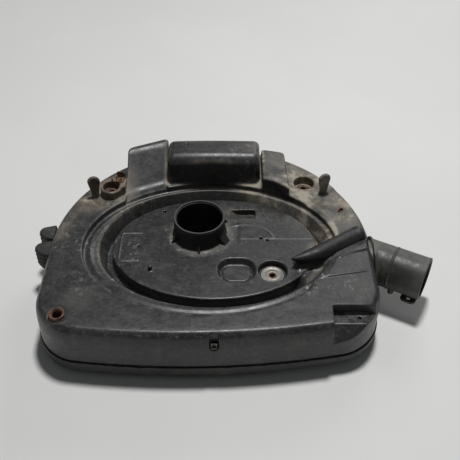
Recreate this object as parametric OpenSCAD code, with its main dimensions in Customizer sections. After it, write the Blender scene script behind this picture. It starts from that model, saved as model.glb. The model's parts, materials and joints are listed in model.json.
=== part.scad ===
// Air filter housing of a small car engine, lying upside down on its cover.
// Millimetres. +X is to the inlet side, +Y is to the arched back, +Z is up.
// The origin is on the resting plane, under the centre of the arched back.

/* [Body] */
// Radius of the arched back, which is half the body's width
body_r = 177.5; // [172:0.5:182]
// Distance from the origin to the foremost point of the front
front_y = 134; // [132:1:140]
// Radius of the shallow front curve
front_r = 853; // [700:1:1200]
// Radius of the two front corners
corner_r = 42; // [36:1:50]
// Wall thickness of the moulded shells
wall = 2.5; // [2:0.1:3]

/* [Heights] */
// Underside of the cover's rim
rim_z = 7; // [6:1:12]
// Seam between the cover's rim and the housing
seam_z = 20.5; // [19:0.5:23]
// Top of the deck
deck_z = 67; // [64:1:72]
// Top of the oval ring channel and of the plate inside it
plate_z = 58; // [56:1:60]
// Floor of the groove round the plate
groove_z = 42; // [38:1:48]
// Top of the left rear block, at its back
left_block_z = 98; // [88:1:102]
// Top of the middle rear block
mid_block_z = 105; // [98:1:110]
// Top of the right rear block
right_block_z = 86; // [80:1:92]

/* [Oval] */
// Half length of the oval ring channel
ring_a = 139; // [136:1:141]
// Half depth of the oval ring channel
ring_b = 104; // [100:1:106]
// Half length of the oval plate
plate_a = 113; // [110:1:115]
// Half depth of the oval plate
plate_b = 80; // [78:1:83]
// Width of the groove round the plate
groove_w = 8; // [6:0.5:9]

/* [Neck and spigots] */
// Outer radius of the throttle neck
neck_r = 28; // [26:0.5:29]
// Bore radius of the throttle neck
neck_bore_r = 25.5; // [22:0.5:25.5]
// Top of the throttle neck
neck_z = 82; // [78:1:86]
// Outer radius of the inlet spigot
inlet_r = 24; // [23:0.5:25]
// Bore radius of the inlet spigot
inlet_bore_r = 21; // [19:0.5:21]
// Outer radius of the spigot where it passes through the wall
waist_r = 20.5; // [19:0.5:20.5]
// Direction of the inlet spigot, degrees from +X
inlet_turn = -28; // [-30:1:-26]
// Outer radius of the breather pipe
breather_r = 10; // [9:0.5:10]
// Radius of the passage inside the breather pipe
breather_bore_r = 6.5; // [5:0.5:7]

/* [Fasteners] */
// Shank radius of the cover screws
screw_r = 2; // [1.5:0.1:2.1]
// Bore radius of the large front sleeve
front_sleeve_bore_r = 4.75; // [4:0.25:5]
// Bore radius of the two rear sleeves
rear_sleeve_bore_r = 3.25; // [3:0.25:3.5]

/* [Hidden] */
$fn = 64;
gap = 0.3;
over = 1;
back_points = 40;
oval_points = 60;

// where things stand, in plan
front_apex_x = -25;
neck_at = [-12.5, 25];
plate_at = [4.5, 3];
ring_at = [-0.5, -1.5];
inlet_end = [233, -35];
inlet_z = 44;
inlet_length = 84;
inlet_sleeve_length = 37;
spigot_inset = 4.5;
breather_from = [95.5, -36.5];
breather_turn = 33.5;
breather_length = 85;
breather_port_at = 55;
breather_z = 67;
front_sleeve_at = [-149, -106];
left_sleeve_at = [-118, 84];
right_sleeve_at = [110, 101];
plate_washer_at = [67, -36];
left_fin_at = [-136.5, 78];
right_fin_at = [131.5, 83];
peg_at = [-64, -34];
clip_at = [-108, 95];
clip_rib_at = [-110, 107];
deck_slot_at = [149, 53];
corner_hole_at = [152, -98];
block_hole_at = [-29, 133];
sump_at = [28.5, -34];
pocket_at = [36, 55];
notch_x = 6;
screws_at = [[-112, -108], [-52, -112], [60, -110], [157, -62], [139, 78], [0, 155], [-143, 74], [-161, -30]];

// heights that follow from the driving ones
housing_foot = seam_z + 0.5 + gap;
chamfer = 6;
pan_inset = 14;
boss_r = 6;
boss_bore_r = 3.2;
element_foot = 6;
element_top = groove_z - wall - gap;
element_a = 131;
element_b = 98;
element_w = 26;
pleat_depth = 4;
pleats = 80;
washer_z = 51;
sleeve_proud = 3.5;
clip_foot = deck_z + 12;

// points of an arc about c, from angle a0 to a1
function arc(c, r, a0, a1, n) = [for (i = [0:n]) c + r * [cos(a0 + (a1 - a0) * i / n), sin(a0 + (a1 - a0) * i / n)]];

// centre height of a front corner that touches the side and the front curve; sx is -1 left, 1 right
function corner_y(sx) = let (reach = front_r - corner_r, dx = sx * (body_r - corner_r) - front_apex_x)
    front_r - front_y - sqrt(reach * reach - dx * dx);

// angle at which the corner meets the front curve
function corner_turn(sx) = let (c = [sx * (body_r - corner_r), corner_y(sx)])
    atan2(c[1] - (front_r - front_y), c[0] - front_apex_x);

// the body's D-shaped outline, inset evenly
function outline_points(inset) = concat(
    arc([0, 0], body_r - inset, 0, 180, back_points),
    arc([corner_r - body_r, corner_y(-1)], corner_r - inset, 180, 360 + corner_turn(-1), 10),
    arc([front_apex_x, front_r - front_y], front_r - inset, 360 + corner_turn(-1), 360 + corner_turn(1), 16),
    arc([body_r - corner_r, corner_y(1)], corner_r - inset, 360 + corner_turn(1), 360, 10));

module outline(inset) polygon(outline_points(inset));

module oval(at, a, b) polygon([for (i = [0:oval_points - 1]) at + [a * cos(360 * i / oval_points), b * sin(360 * i / oval_points)]]);

module slab(z0, z1) translate([0, 0, z0]) linear_extrude(z1 - z0) children();

module rod(at, r, z0, z1) translate([at[0], at[1], z0]) cylinder(r = r, h = z1 - z0);

module tube(at, r, bore_r, z0, z1)
    difference() {
        rod(at, r, z0, z1);
        rod(at, bore_r, z0 - over, z1 + over);
    }

// a ring that follows the body's outline
module outline_ring(outer, inner, z0, z1)
    difference() {
        slab(z0, z1) outline(outer);
        slab(z0 - over, z1 + over) outline(inner);
    }

// a ring that follows the oval of the filter element
module element_ring(grow, w, z0, z1)
    difference() {
        slab(z0, z1) oval(plate_at, element_a + grow, element_b + grow);
        slab(z0 - over, z1 + over) oval(plate_at, element_a - w, element_b - w);
    }

// the frame of the inlet spigot: its axis along +Z, from the open end inwards
module inlet_frame()
    translate([inlet_end[0], inlet_end[1], inlet_z]) rotate([0, 0, inlet_turn]) rotate([0, -90, 0]) children();

// the frame of the breather pipe: its axis along +Z, from the blended tip to the open end
module breather_frame()
    translate([breather_from[0], breather_from[1], breather_z]) rotate([0, 0, breather_turn]) rotate([0, 90, 0]) children();

// a slot with round ends, w along X and d along Y
module slot(w, d, r)
    union() {
        square([w - 2 * r, d], center = true);
        square([w, d - 2 * r], center = true);
        for (sx = [-1, 1], sy = [-1, 1]) translate([sx * (w / 2 - r), sy * (d / 2 - r)]) circle(r);
    }

// ---- cover group ----

module cover_screw_pads() for (p = screws_at) rod(p, 9, 0, rim_z + wall);

module cover()
    color("#26272a") difference() {
        union() {
            difference() {
                union() {
                    slab(0, rim_z) outline(pan_inset);
                    slab(rim_z, seam_z) outline(-1.5);
                }
                slab(wall, seam_z + over) outline(pan_inset + wall);
                slab(rim_z + wall, seam_z + over) outline(6);
            }
            intersection() {
                cover_screw_pads();
                slab(0, seam_z) outline(5);
            }
            for (p = [front_sleeve_at, left_sleeve_at, right_sleeve_at]) rod(p, 12, 0, seam_z - 1);
        }
        slab(seam_z - 1.5, seam_z + over) difference() {
            outline(0);
            outline(3);
        }
        for (p = screws_at) {
            rod(p, 7, -over, rim_z - 2);
            rod(p, screw_r + 0.5, -over, rim_z + 5);
        }
        for (p = [front_sleeve_at, left_sleeve_at, right_sleeve_at]) rod(p, 6.5, -over, seam_z + over);
    }

module cover_seal() color("#5a2f26") outline_ring(0, 3, seam_z - 1.5, seam_z + 0.5);

module cover_screws()
    color("#8d8f92") for (p = screws_at) {
        translate([p[0], p[1], rim_z - 6.5]) cylinder(r = 5, h = 3.5, $fn = 6);
        rod(p, screw_r, rim_z - 3, 44);
    }

module screw_washers() color("#a7a9ab") for (p = screws_at) tube(p, 6.2, screw_r, rim_z - 3, rim_z - 2);

module screw_retainers() color("#33353a") for (p = screws_at) tube(p, 4, screw_r, rim_z + wall, rim_z + wall + 1.2);

// a point of the pleated paper's folded outside; odd points are the folds' valleys
function fold_point(i) = let (in = pleat_depth * (i % 2), turn = 180 * i / pleats)
    plate_at + [(element_a - in) * cos(turn), (element_b - in) * sin(turn)];

module filter_media()
    color("#d8c690") slab(element_foot + 3, element_top - 3) difference() {
        polygon([for (i = [0:2 * pleats - 1]) fold_point(i)]);
        oval(plate_at, element_a - element_w + 2, element_b - element_w + 2);
    }

module filter_upper_seal() color("#2b2b2b") element_ring(1.5, element_w, element_top - 3, element_top);

module filter_lower_seal() color("#2b2b2b") element_ring(1.5, element_w, wall, element_foot + 3);

module filter_screen() color("#9b9d9f") slab(element_foot + 3, element_top - 3)
    difference() {
        oval(plate_at, element_a - element_w + 2, element_b - element_w + 2);
        oval(plate_at, element_a - element_w + 1, element_b - element_w + 1);
    }

// ---- housing group ----

// D-shaped block with a chamfered top edge
module chamfered_body(inset, top)
    hull() {
        slab(housing_foot, top - chamfer) outline(inset);
        slab(housing_foot, top) outline(inset + chamfer);
    }

module left_block(inset, top)
    intersection() {
        slab(groove_z, deck_z + 60) polygon([[-102 + inset, 74 + inset], [-54 - inset, 95 + inset],
                                             [-56 - inset, 162 - inset], [-104 + inset, 140 - inset]]);
        translate([-101, 76, 0]) rotate([0, 0, 24]) rotate([90, 0, 90])
            translate([0, 0, -15]) linear_extrude(90) polygon([[inset, 0], [inset, deck_z - inset], [14, deck_z + 15 - inset],
                [52, top - inset], [60, top - 3 - inset], [66 - inset, deck_z], [66 - inset, 0]]);
        slab(0, deck_z + 60) outline(5 + inset);
    }

module mid_block(inset, top)
    intersection() {
        slab(groove_z, deck_z + 60) translate([-53.5 + inset, 96 + inset]) square([108 - 2 * inset, 75 - 2 * inset]);
        rotate([90, 0, 90]) translate([0, 0, -60]) linear_extrude(120) polygon([[101 + inset, 0], [104 + inset, top - 12],
            [108 + inset, top - 4 - inset], [114, top - inset], [132, top - inset], [142 - inset, top - 6 - inset],
            [164 - inset, deck_z + 2 - inset], [170 - inset, 0]]);
        slab(0, deck_z + 60) outline(5 + inset);
    }

module right_block(inset, top)
    intersection() {
        slab(groove_z, deck_z + 60) polygon([[57.5 + inset, 91 + inset], [74, 86 + inset], [91 - inset, 77 + inset],
                                             [88.5 - inset, 134 - inset], [74, 142 - inset], [57.5 + inset, 148 - inset]]);
        slab(0, top - inset) outline(5 + inset);
    }

module blocks(inset)
    union() {
        left_block(inset, left_block_z);
        mid_block(inset, mid_block_z);
        right_block(inset, right_block_z);
    }

// upright leaf-shaped tab, 29 mm tall and 5 mm thick
module fin(at, turn)
    translate([at[0], at[1], deck_z - wall]) rotate([0, 0, turn]) rotate([90, 0, 0]) translate([0, 0, -2.5])
        linear_extrude(5) union() {
            translate([-6.5, 0]) square([13, 20]);
            translate([0, 22]) circle(6.5);
        }

module wall_boss(at, r, top) rod(at, r, housing_foot, top);

module bosses()
    union() {
        for (p = screws_at) wall_boss(p, boss_r, deck_z - wall);
        wall_boss(front_sleeve_at, 11, deck_z);
        wall_boss(left_sleeve_at, 13, deck_z + 10);
        wall_boss(right_sleeve_at, 14.5, deck_z);
        rod(plate_washer_at, 18, groove_z + 2, plate_z);
        rod(plate_washer_at, 8, 30, plate_z);
        slab(housing_foot, 50) translate([-1.5, 160]) square([3, 16]);
    }

module boss_bores()
    union() {
        for (p = screws_at) rod(p, boss_bore_r, housing_foot - over, 50);
        rod(front_sleeve_at, 9, housing_foot - over, deck_z + over);
        rod(left_sleeve_at, 8.5, housing_foot - over, deck_z + 11);
        rod(left_sleeve_at, 10, deck_z + 1, deck_z + 11);
        rod(right_sleeve_at, 8.5, housing_foot - over, deck_z + over);
        rod(right_sleeve_at, 12, plate_z, deck_z + over);
        rod(plate_washer_at, 15.5, washer_z - 1, plate_z + over);
        rod(plate_washer_at, 5, 29, plate_z);
    }

// the recess cut in the front right corner: a ledge, then a slope down to the front
module corner_pocket(grow)
    translate([124 - grow, 0, 0]) rotate([90, 0, 90]) linear_extrude(60) polygon([[-91 + grow, deck_z + over],
        [-92 + grow, 54 - grow], [-106 + grow, 54 - grow], [-124 + grow, 36 - grow], [-150, 36 - grow], [-150, deck_z + over]]);

module front_notch(grow)
    translate([notch_x, -front_y + 5 + grow, 56]) rotate([90, 0, 0]) linear_extrude(20) slot(10 + 2 * grow, 20 + 2 * grow, 4);

module plate_details()
    union() {
        slab(plate_z - 8, plate_z + over) translate(sump_at) slot(40, 34, 15);
        slab(plate_z - 6, plate_z + over) translate(pocket_at) slot(28, 14, 2);
        slab(plate_z - 1.5, plate_z + over) translate([-55, 59]) slot(4, 8, 1.9);
        rod([-80, 3], 1.2, plate_z - 6, plate_z + over);
        rod([56, 15], 1.5, plate_z - 6, plate_z + over);
        rod([63, 12], 1.5, plate_z - 6, plate_z + over);
    }

// floor under the plate's recesses
module plate_backing()
    union() {
        slab(plate_z - 8 - wall, plate_z) translate(sump_at) slot(45, 39, 17);
        slab(plate_z - 6 - wall, plate_z) translate(pocket_at) slot(33, 19, 4);
    }

module housing_cavity()
    difference() {
        union() {
            slab(housing_foot - over, groove_z - wall) outline(wall);
            difference() {
                slab(housing_foot - over, plate_z - wall) outline(wall);
                slab(groove_z - wall, plate_z) difference() {
                    oval(plate_at, plate_a + groove_w + wall, plate_b + groove_w + wall);
                    oval(plate_at, plate_a - wall, plate_b - wall);
                }
            }
            difference() {
                chamfered_body(wall, deck_z - wall);
                slab(0, deck_z + over) oval(ring_at, ring_a + wall, ring_b + wall);
            }
            slab(deck_z - wall - over, deck_z - wall) difference() {
                outline(16);
                oval(ring_at, ring_a + wall, ring_b + wall);
            }
            blocks(wall);
        }
        corner_pocket(wall);
        front_notch(wall);
        difference() {
            union() {
                bosses();
                plate_backing();
            }
            slab(0, 29) oval(plate_at, plate_a, plate_b);
        }
        slab(0, deck_z - wall) translate(deck_slot_at) rotate(60) slot(12, 7, 3);
    }

module housing_shell()
    color("#3c3e40") difference() {
        union() {
            difference() {
                union() {
                    chamfered_body(0, deck_z);
                    bosses();
                }
                slab(plate_z, deck_z + 30) oval(ring_at, ring_a, ring_b);
                slab(groove_z, deck_z + 30) difference() {
                    oval(plate_at, plate_a + groove_w, plate_b + groove_w);
                    oval(plate_at, plate_a, plate_b);
                }
            }
            blocks(0);
            fin(left_fin_at, 10);
            fin(right_fin_at, 18);
            rod(peg_at, 2.2, plate_z - over, plate_z + 6);
            slab(deck_z - over, clip_foot) translate([-107, 91]) square([11, 18], center = true);
            slab(deck_z - over, deck_z + 13) translate(clip_rib_at) square([12, 6], center = true);
            slab(plate_z - over, plate_z + 0.8) difference() {
                translate([-100, -22]) square([28, 46]);
                translate([-98.5, -23]) square([28, 45.5]);
            }
        }
        housing_cavity();
        boss_bores();
        corner_pocket(0);
        front_notch(0);
        plate_details();
        rod(corner_hole_at, 1.5, 40, 60);
        slab(deck_z - 6, deck_z + over) translate(deck_slot_at) rotate(60) slot(9, 3.4, 1.6);
        rod(neck_at, neck_r - 0.6, 20, neck_z);
        inlet_frame() translate([0, 0, -20]) cylinder(r = waist_r, h = inlet_length + 20);
        breather_frame() cylinder(r = breather_r, h = breather_length);
        rod(block_hole_at, 1.5, mid_block_z - 7, mid_block_z + over);
    }

module neck_gusset(turn)
    translate([neck_at[0], neck_at[1], 0]) rotate([0, 0, turn]) translate([neck_r - 1.1, 1, 0]) rotate([90, 0, 0])
        linear_extrude(2) polygon([[0, plate_z], [9, plate_z], [0, plate_z + 12]]);

module throttle_neck()
    color("#141516") union() {
        tube(neck_at, neck_r - 0.6, neck_bore_r, plate_z - 10, neck_z - 2);
        tube(neck_at, neck_r, neck_bore_r, plate_z + 10.5, neck_z - 2);
        tube(neck_at, neck_r + 0.6, neck_bore_r, plate_z + 9, plate_z + 10.5);
        tube(neck_at, neck_r + 4, neck_bore_r, plate_z - wall - 3, plate_z - wall);
        for (i = [0:5]) neck_gusset(60 * i + 30);
    }

module throttle_seal() color("#8f9193") tube(neck_at, neck_r - 0.2, neck_bore_r + 0.2, neck_z - 2, neck_z);

// level tab under the spigot's open end, which takes the duct's screw
module inlet_ear() inlet_frame() translate([-inlet_r, -10.5, 11]) rotate([0, 90, 0]) linear_extrude(3) slot(17, 20, 5);

module inlet_spigot()
    color("#4b4d4e") difference() {
        union() {
            inlet_frame() cylinder(r = inlet_r, h = inlet_sleeve_length);
            difference() {
                inlet_frame() cylinder(r = inlet_r - 0.5, h = inlet_length);
                slab(0, deck_z + 10) outline(-gap);
            }
            inlet_frame() cylinder(r = waist_r, h = inlet_length);
            inlet_frame() translate([0, 0, inlet_sleeve_length - 1]) cylinder(r = inlet_r + 0.5, h = 1.2);
            inlet_ear();
        }
        inlet_frame() translate([0, 0, -over]) cylinder(r = inlet_bore_r, h = inlet_sleeve_length - 3 + over);
        inlet_frame() cylinder(r = waist_r - wall, h = inlet_length + over);
        slab(0, deck_z + 10) outline(spigot_inset);
        inlet_frame() translate([-inlet_r - over, -14.8, 11]) rotate([0, 90, 0]) cylinder(r = 2.4, h = 6);
    }

module inlet_seal()
    color("#1d1d1d") intersection() {
        slab(housing_foot, deck_z - chamfer) difference() {
            outline(wall);
            outline(spigot_inset);
        }
        inlet_frame() translate([0, 0, inlet_sleeve_length]) difference() {
            cylinder(r = waist_r + 2, h = inlet_length);
            translate([0, 0, -over]) cylinder(r = waist_r, h = inlet_length + 2 * over);
        }
    }

// a closed pipe with a passage inside it, which opens downwards into the housing
module breather_port(r, z0, z1)
    breather_frame() translate([0, 0, breather_port_at]) rotate([0, -90, 0]) translate([0, 0, z0 - breather_z])
        cylinder(r = r, h = z1 - z0);

module breather_pipe()
    color("#17181a") difference() {
        breather_frame() union() {
            cylinder(r = breather_r, h = breather_length);
            sphere(r = breather_r);
        }
        breather_frame() translate([0, 0, 8]) cylinder(r = breather_bore_r, h = breather_length - 12);
        breather_port(4, breather_z - breather_r - over, breather_z);
    }

module breather_gauze() color("#8b8d8f") breather_port(4, breather_z - breather_r + 1, breather_z - breather_r + 2.2);

module front_left_sleeve() color("#8a5a3c") tube(front_sleeve_at, 8, front_sleeve_bore_r, housing_foot, deck_z + sleeve_proud);

module rear_left_sleeve() color("#9a5a34") tube(left_sleeve_at, 6.5, rear_sleeve_bore_r, housing_foot, deck_z + 3);

module rear_right_sleeve() color("#a8623a") tube(right_sleeve_at, 6.5, rear_sleeve_bore_r, housing_foot, plate_z + 3);

module front_grommet() color("#2a2a2b") tube(front_sleeve_at, 9, 8, housing_foot, deck_z);

module rear_grommets()
    color("#2a2a2b") union() {
        tube(left_sleeve_at, 8.5, 6.5, housing_foot, deck_z + 1);
        tube(right_sleeve_at, 8.5, 6.5, housing_foot, plate_z + 1);
    }

module plate_washer()
    color("#b9b6ae") translate([plate_washer_at[0], plate_washer_at[1], 0]) rotate_extrude()
        polygon([[2.7, washer_z - 0.6], [12.5, washer_z - 0.6], [12.5, washer_z + 1.4], [11.5, washer_z + 1.4],
                 [9, washer_z + 0.8], [2.7, washer_z + 0.4]]);

module plate_sleeve() color("#7c4a30") tube(plate_washer_at, 5, 2.7, 32, washer_z - 0.6);

module screw_inserts() color("#b49a5a") for (p = screws_at) tube(p, boss_bore_r, screw_r + 0.3, housing_foot + 1, 40);

module spring_nut()
    color("#77787a") translate([notch_x, -front_y + 0.6, 47.6]) difference() {
        translate([-3, 0, 0]) cube([6, 4, 6]);
        translate([-1.8, -over, 1.2]) cube([3.6, 3, 6]);
    }

module rear_left_clip()
    color("#4a342c") translate([clip_at[0], clip_at[1], clip_foot]) union() {
        translate([-4.5, -6, 0]) cube([9, 11, 1.2]);
        translate([-4.5, 2, 0]) cube([9, 3, 9]);
    }

module locating_pin() color("#7e5a40") rod(left_sleeve_at + [0, 9.2], 0.8, deck_z + 1, deck_z + 15);

module side_buffers()
    color("#232425") slab(32, 58) for (p = [[0, 24], [0, -2]]) translate([-body_r, p[1]])
        polygon([[0, -10], [-9, -7], [-18.5, 2], [-15, 10], [0, 14]]);

cover();
cover_seal();
cover_screws();
screw_washers();
screw_retainers();
filter_media();
filter_upper_seal();
filter_lower_seal();
filter_screen();
housing_shell();
throttle_neck();
throttle_seal();
inlet_spigot();
inlet_seal();
breather_pipe();
breather_gauze();
front_left_sleeve();
rear_left_sleeve();
rear_right_sleeve();
front_grommet();
rear_grommets();
plate_washer();
plate_sleeve();
screw_inserts();
spring_nut();
rear_left_clip();
locating_pin();
side_buffers();
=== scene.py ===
import json
import math

import bmesh
import bpy
import numpy as np
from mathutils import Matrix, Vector


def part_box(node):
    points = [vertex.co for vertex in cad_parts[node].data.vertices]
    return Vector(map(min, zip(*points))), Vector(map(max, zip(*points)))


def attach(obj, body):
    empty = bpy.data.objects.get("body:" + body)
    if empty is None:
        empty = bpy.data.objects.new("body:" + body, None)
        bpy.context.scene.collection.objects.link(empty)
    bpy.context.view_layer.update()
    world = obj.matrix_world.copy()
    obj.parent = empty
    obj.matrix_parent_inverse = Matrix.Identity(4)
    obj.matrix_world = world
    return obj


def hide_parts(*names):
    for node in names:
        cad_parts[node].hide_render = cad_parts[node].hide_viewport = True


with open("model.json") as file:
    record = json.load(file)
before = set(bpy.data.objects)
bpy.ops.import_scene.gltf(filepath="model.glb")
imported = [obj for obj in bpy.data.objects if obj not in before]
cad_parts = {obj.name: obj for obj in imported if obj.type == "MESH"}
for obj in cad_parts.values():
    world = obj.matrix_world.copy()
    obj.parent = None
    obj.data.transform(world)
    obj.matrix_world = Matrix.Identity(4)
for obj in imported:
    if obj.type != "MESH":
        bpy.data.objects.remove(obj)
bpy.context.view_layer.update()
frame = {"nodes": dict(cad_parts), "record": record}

# Lengths are in millimetres until a mesh is made; meshes and the frame are in metres.
MM = 0.001
NODES = frame["nodes"]
COVER = "cover_group"
HOUSING = "housing_group"


def span(node):
    """Lowest and highest corner of a CAD node, in millimetres."""
    lo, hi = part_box(node)
    return [v / MM for v in lo], [v / MM for v in hi]


def middle(node):
    """Middle of a CAD node's box, in millimetres."""
    lo, hi = span(node)
    return [(a + b) / 2 for a, b in zip(lo, hi)]


# ---- sizes of the design ----

SHELL_LO, SHELL_HI = span("housing_shell")
SEAL_LO = span("cover_seal")[0]
BODY_R, FRONT_Y = -SEAL_LO[0], -SEAL_LO[1]
FRONT_R, FRONT_APEX_X, CORNER_R = 853, -25, 42
WALL = 3

# heights, from the cover's rim up
RIM_LOW = 6.5
FOOT_Z, SEAM_Z = SHELL_LO[2], span("cover")[1][2]
GROOVE_Z, PLATE_Z, DECK_Z = 42, 58, 67
LEFT_BLOCK_Z, MID_BLOCK_Z, RIGHT_BLOCK_Z = 98, SHELL_HI[2], 86

# the oval channel, and the plate inside it with its groove
RING_AT, RING_A, RING_B = (-0.5, -1.5), 139, 104
PLATE_AT, PLATE_A, PLATE_B = (4.5, 3), 113, 80
GROOVE_W = 8

# the left block's face, and the middle block's middle and half width
LEFT_FACE_AT, LEFT_FACE_TURN = (-78, 86), 25
MID_BLOCK_X, MID_BLOCK_HALF = 2, 56

# what is fitted to the housing
NECK_AT, NECK_R, NECK_BORE_R = middle("throttle_neck"), 28, 25.5
NECK_TOP = span("throttle_seal")[1][2]
FRONT_SLEEVE_AT = middle("front_left_sleeve")
LEFT_SLEEVE_AT = middle("rear_left_sleeve")
RIGHT_SLEEVE_AT = middle("rear_right_sleeve")
WASHER_AT, WASHER_Z = middle("plate_washer"), span("plate_washer")[0][2]
BREATHER_FROM, BREATHER_TURN, BREATHER_LENGTH = (95.5, -34), 33.5, 85
BREATHER_Z, BREATHER_R = 67, 10
INLET_END, INLET_TURN, INLET_Z, INLET_R, WAIST_R = (233, -35), -28, 44, 24, 20.5
SCREWS_AT = [(-112, -108), (-52, -112), (60, -110), (157, -62), (139, 78), (0, 155), (-143, 74), (-161, -30)]
BUFFERS_Y, BUFFERS_Z = (24, -2), 45

# what is moulded on it: fins as place and turn, the slot as place, length, width, corner radius and turn
FINS = (((-136.5, 78), 10), ((131.5, 83), 18))
SLOT = ((149, 53), 9, 3.6, 1.7, 60)
SUMP_AT, PAD_AT, POCKET_AT = (28.5, -34), (28.5, -35), (36.5, 56)

# mesh cells
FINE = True
PITCH = 1.0 if FINE else 1.7
PIECE_COARSER = 1 if FINE else 1.6


# ---- distance fields: negative inside, in millimetres ----

def hyp(a, b):
    return np.sqrt(a * a + b * b)


def join(a, b, k=0.0):
    """Union, with a fillet of about k."""
    if k <= 0:
        return np.minimum(a, b)
    h = np.maximum(k - np.abs(a - b), 0) / k
    return np.minimum(a, b) - h * h * k / 4


def meet(a, b, k=0.0):
    """Intersection, with a rounding of about k."""
    return -join(-a, -b, k)


def cut(a, b, k=0.0):
    return meet(a, -b, k)


def round_meet(a, b, r):
    """Intersection with a true radius r along the edge."""
    return np.minimum(np.maximum(a, b), -r) + hyp(np.maximum(a + r, 0), np.maximum(b + r, 0))


def outline(x, y):
    """The body's D-shaped outline."""
    side = np.where(y > 0, hyp(x, y), np.abs(x)) - BODY_R
    front = hyp(x - FRONT_APEX_X, y - (FRONT_R - FRONT_Y)) - FRONT_R
    return round_meet(side, front, CORNER_R)


def oval(x, y, at, a, b):
    u, v = x - at[0], y - at[1]
    k0 = np.sqrt((u / a) ** 2 + (v / b) ** 2) + 1e-6
    k1 = np.sqrt((u / a ** 2) ** 2 + (v / b ** 2) ** 2) + 1e-9
    return k0 * (k0 - 1) / k1


def disc(x, y, at, r):
    return hyp(x - at[0], y - at[1]) - r


def turned(x, y, at, turn):
    c, s = math.cos(math.radians(turn)), math.sin(math.radians(turn))
    return (x - at[0]) * c + (y - at[1]) * s, (y - at[1]) * c - (x - at[0]) * s


def box2(x, y, at, w, d, r=0.0, turn=0.0):
    """Rectangle of w by d about at, with corners of radius r, turned by turn degrees."""
    u, v = turned(x, y, at, turn)
    qx, qy = np.abs(u) - w / 2 + r, np.abs(v) - d / 2 + r
    return hyp(np.maximum(qx, 0), np.maximum(qy, 0)) + np.minimum(np.maximum(qx, qy), 0) - r


def line2(x, y, a, b):
    """Distance to the straight line from a to b."""
    dx, dy = b[0] - a[0], b[1] - a[1]
    t = np.clip(((x - a[0]) * dx + (y - a[1]) * dy) / (dx * dx + dy * dy), 0, 1)
    return hyp(x - a[0] - t * dx, y - a[1] - t * dy)


def slab(z, lo, hi):
    """All that lies between the levels lo and hi."""
    return np.maximum(z - hi, lo - z)


def rod(x, y, z, start, turn, r, t0, t1):
    """Level rod with flat ends, from t0 to t1 along its direction."""
    t, v = turned(x, y, start, turn)
    return meet(hyp(v, z - start[2]) - r, slab(t, t0, t1))


def soft(t):
    """Smooth step from 0 to 1 as t goes from 0 to 1."""
    t = np.clip(t, 0, 1)
    return t * t * (3 - 2 * t)


def near(d, reach):
    """1 at a distance of 0 or less, falling smoothly to 0 at reach."""
    return soft(1 - d / reach)


def ridge(d, width):
    """1 where d is 0, falling off as a bell about width wide to each side."""
    return np.exp(-(d / width) ** 2)


# ---- meshes from distance fields ----

def net(field, lo, pitch):
    """Surface nets: a point in each cell that the surface crosses, a quad across each crossed edge."""
    inside = field < 0
    shape = [n - 1 for n in field.shape]
    crossed = np.zeros(shape, bool)
    corners = [(i, j, k) for i in (0, 1) for j in (0, 1) for k in (0, 1)]
    first = inside[:-1, :-1, :-1]
    for i, j, k in corners[1:]:
        crossed |= inside[i:i + shape[0], j:j + shape[1], k:k + shape[2]] != first
    cells = np.argwhere(crossed)
    ids = np.full(shape, -1, np.int64)
    ids[tuple(cells.T)] = np.arange(len(cells))
    total, count = np.zeros((len(cells), 3)), np.zeros(len(cells))
    for a in corners:
        for axis in range(3):
            if a[axis]:
                continue
            b = tuple(v + (n == axis) for n, v in enumerate(a))
            fa, fb = field[tuple((cells + a).T)], field[tuple((cells + b).T)]
            hit = (fa < 0) != (fb < 0)
            t = np.where(hit, fa / np.where(hit, fa - fb, 1), 0)
            point = np.array(a, float)[None] + t[:, None] * (np.array(b) - np.array(a))[None]
            total += point * hit[:, None]
            count += hit
    points = lo + pitch * (cells + total / count[:, None])
    quads = []
    for axis in range(3):
        p, q = (axis + 1) % 3, (axis + 2) % 3
        here = [slice(1, n - 1) for n in field.shape]
        here[axis] = slice(0, field.shape[axis] - 1)
        there = list(here)
        there[axis] = slice(1, field.shape[axis])
        a, b = inside[tuple(here)], inside[tuple(there)]
        edges = np.argwhere(a != b)
        flip = a[tuple(edges.T)]
        base = edges + np.array([0 if n == axis else 1 for n in range(3)])
        step_p, step_q = np.eye(3, dtype=int)[p], np.eye(3, dtype=int)[q]
        ring = [base - step_p - step_q, base - step_q, base, base - step_p]
        faces = np.stack([ids[tuple(c.T)] for c in ring], 1)
        quads.append(np.where(flip[:, None], faces, faces[:, ::-1]))
    return points, np.concatenate(quads)


def slope(points, shape, e=0.4):
    """Gradient of shape(x, y, z) at the points."""
    x, y, z = points.T
    return np.stack([shape(x + e, y, z) - shape(x - e, y, z), shape(x, y + e, z) - shape(x, y - e, z),
                     shape(x, y, z + e) - shape(x, y, z - e)], 1) / (2 * e)


def settle(points, shape, steps=3, reach=0.6):
    """The points, moved along the gradient of shape(x, y, z) towards its surface."""
    for _ in range(steps):
        g = slope(points, shape)
        size = np.maximum((g * g).sum(1), 0.3)
        points = points + np.clip(-shape(*points.T) / size, -reach, reach)[:, None] * g
    return points


def link(name, mesh):
    obj = bpy.data.objects.new(name, mesh)
    bpy.context.scene.collection.objects.link(obj)
    return obj


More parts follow.
